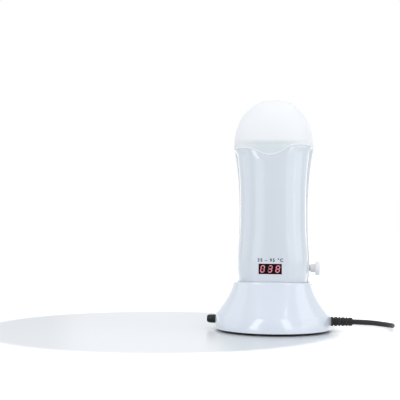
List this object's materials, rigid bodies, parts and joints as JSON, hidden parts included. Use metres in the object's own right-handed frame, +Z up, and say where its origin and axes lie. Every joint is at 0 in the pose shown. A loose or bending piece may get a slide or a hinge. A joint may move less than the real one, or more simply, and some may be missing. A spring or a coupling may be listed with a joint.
{
  "type": "roll-on wax heater",
  "caption": "Waisted upright wax heater with a domed frosted cap, temperature display and side knob, standing in a flared round docking base with a mains cord and push button.",
  "frame": {"origin": "on the heater's upright axis, at the surface that the rubber foot ring stands on", "axes": "+Z up through the cap, -Y towards the front with the display, +X towards the knob and the cord outlet"},
  "size_m": [0.1898, 0.2489, 0.2304],
  "materials": {
    "body_plastic": "smooth glossy pale blue-white plastic",
    "rear_plastic": "smooth glossy pale blue-white plastic",
    "base_plastic": "smooth glossy pale blue-white plastic",
    "cap_plastic": "frosted translucent plastic",
    "collar_plastic": "heat-proof satin plastic",
    "inner_plastic": "plain moulded plastic",
    "knob_plastic": "frosted grey-white plastic",
    "button_plastic": "black plastic",
    "black_plastic": "black moulded plastic",
    "cord_rubber": "black flexible cord jacket",
    "foot_rubber": "dark grey rubber",
    "chamber_metal": "deep-drawn, satin",
    "heater_ceramic": "insulated heating plate",
    "spring_steel": "spring steel strip",
    "screw_steel": "zinc-plated steel",
    "contact_brass": "turned brass",
    "pin_metal": "nickel-plated brass",
    "board_green": "glass-fibre board with parts",
    "display_black": "black display window",
    "display_lit": "lit red bars",
    "display_dim": "unlit grey bars",
    "wire_cover": "soft wire insulation"
  },
  "bodies": {
    "base": {"base_shell": "base_plastic", "base_plate": "black_plastic", "base_screws": "screw_steel", "foot_ring": "foot_rubber", "dock_connector": "black_plastic", "dock_pins": "contact_brass", "power_switch": "black_plastic", "base_wires": "wire_cover", "strain_relief": "cord_rubber", "inner_cord": "cord_rubber", "cord_clamp": "inner_plastic", "clamp_screws": "screw_steel", "cord_lead": "cord_rubber", "cord_coil": "cord_rubber", "cord_tie": "black_plastic", "cord_tail": "cord_rubber", "plug_body": "cord_rubber", "plug_pins": "pin_metal"},
    "handset": {"front_panel": "body_plastic", "rear_shell": "rear_plastic", "shell_screws": "screw_steel", "foot_plate": "inner_plastic", "handset_socket": "black_plastic", "handset_contacts": "contact_brass", "display_module": "display_black", "display_lit_bars": "display_lit", "display_dim_bars": "display_dim", "control_board": "board_green", "board_screws": "screw_steel", "potentiometer": "spring_steel", "chamber_cradle": "inner_plastic", "heating_chamber": "chamber_metal", "chamber_collar": "collar_plastic", "heater_plate": "heater_ceramic", "heater_band": "spring_steel", "thermostat": "black_plastic", "thermal_fuse": "spring_steel", "fuse_clip": "spring_steel", "handset_wires": "wire_cover"},
    "cap": {"dome_cap": "cap_plastic"},
    "knob": {"temperature_knob": "knob_plastic", "knob_shaft": "inner_plastic"},
    "button": {"power_button": "button_plastic"}
  },
  "joints": [
    {"name": "handset_lift", "type": "slide", "parent": "base", "child": "handset", "axis": [0, 0, 1], "range_m": [0, 0.06]},
    {"name": "cap_lift", "type": "slide", "parent": "handset", "child": "cap", "axis": [0, 0, 1], "range_m": [0, 0.06]},
    {"name": "knob_turn", "type": "hinge", "parent": "handset", "child": "knob", "pos_m": [0.04, 0.009, 0.062], "axis": [1, 0, 0], "range_deg": [-135, 135]},
    {"name": "button_press", "type": "slide", "parent": "base", "child": "button", "axis": [1, 0, 0], "range_m": [0, 0.0025], "stiffness_N_per_m": 400}
  ]
}
